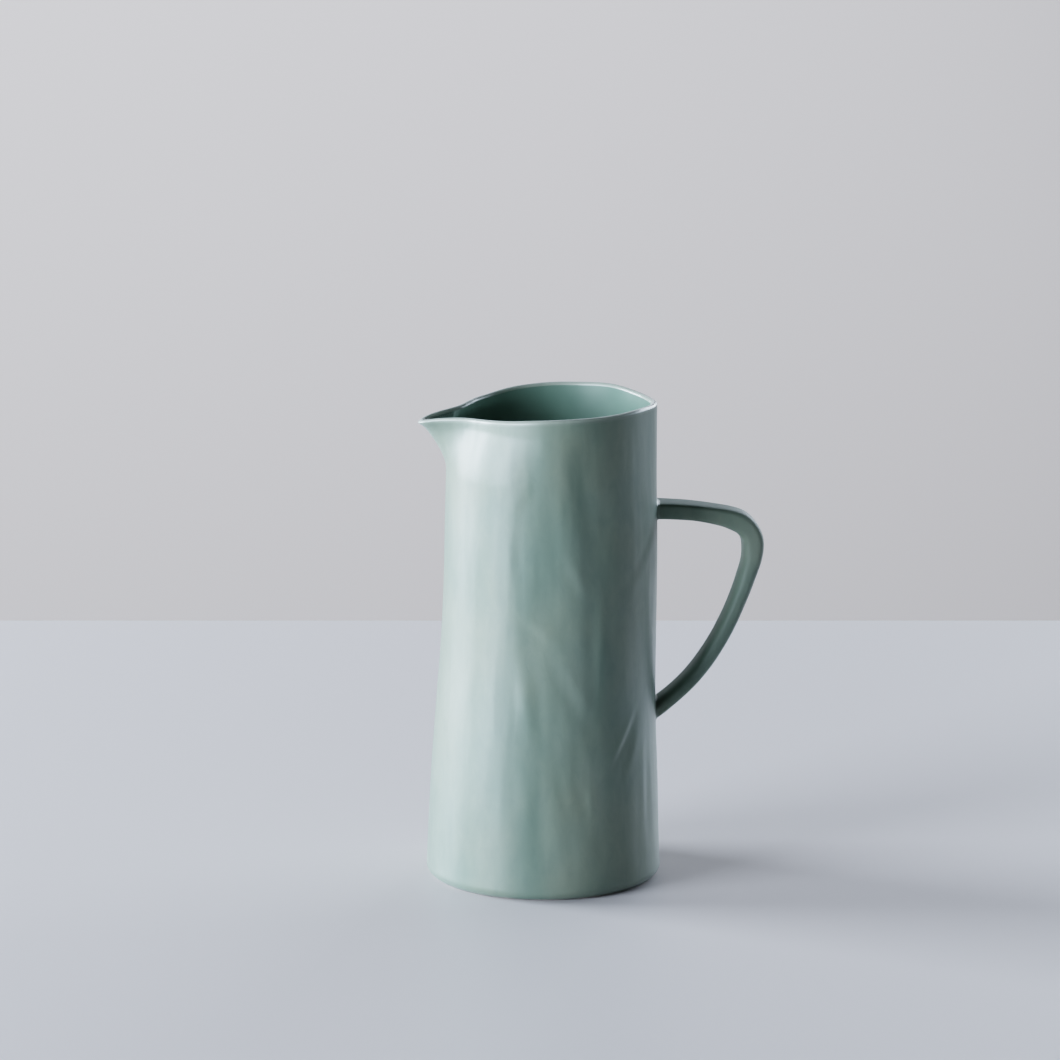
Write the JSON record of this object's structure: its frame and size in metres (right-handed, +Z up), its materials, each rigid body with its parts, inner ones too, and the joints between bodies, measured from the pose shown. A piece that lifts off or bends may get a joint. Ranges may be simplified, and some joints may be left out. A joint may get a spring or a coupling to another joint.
{
  "type": "ceramic pitcher",
  "caption": "Hand-built cylindrical ceramic pitcher with a pinched pouring spout in its rim and a strap handle luted to the opposite side.",
  "frame": {"origin": "centre of the flat underside of the foot", "axes": "+Z up from the foot to the rim, -X out through the spout, +X out through the handle, Y across"},
  "size_m": [0.1628, 0.1116, 0.23],
  "materials": {
    "glazed_exterior": "satin grey-green celadon glaze over stoneware",
    "gloss_lining": "clear gloss grey-green glaze",
    "foot_clay": "satin glazed edge, bare matte clay underneath"
  },
  "bodies": {
    "root": {"base_slab": "foot_clay", "wall": "glazed_exterior", "spout": "glazed_exterior", "base_seam_coil": "glazed_exterior", "interior_glaze": "gloss_lining", "handle": "glazed_exterior", "upper_handle_collar": "glazed_exterior", "lower_handle_collar": "glazed_exterior"}
  },
  "joints": []
}
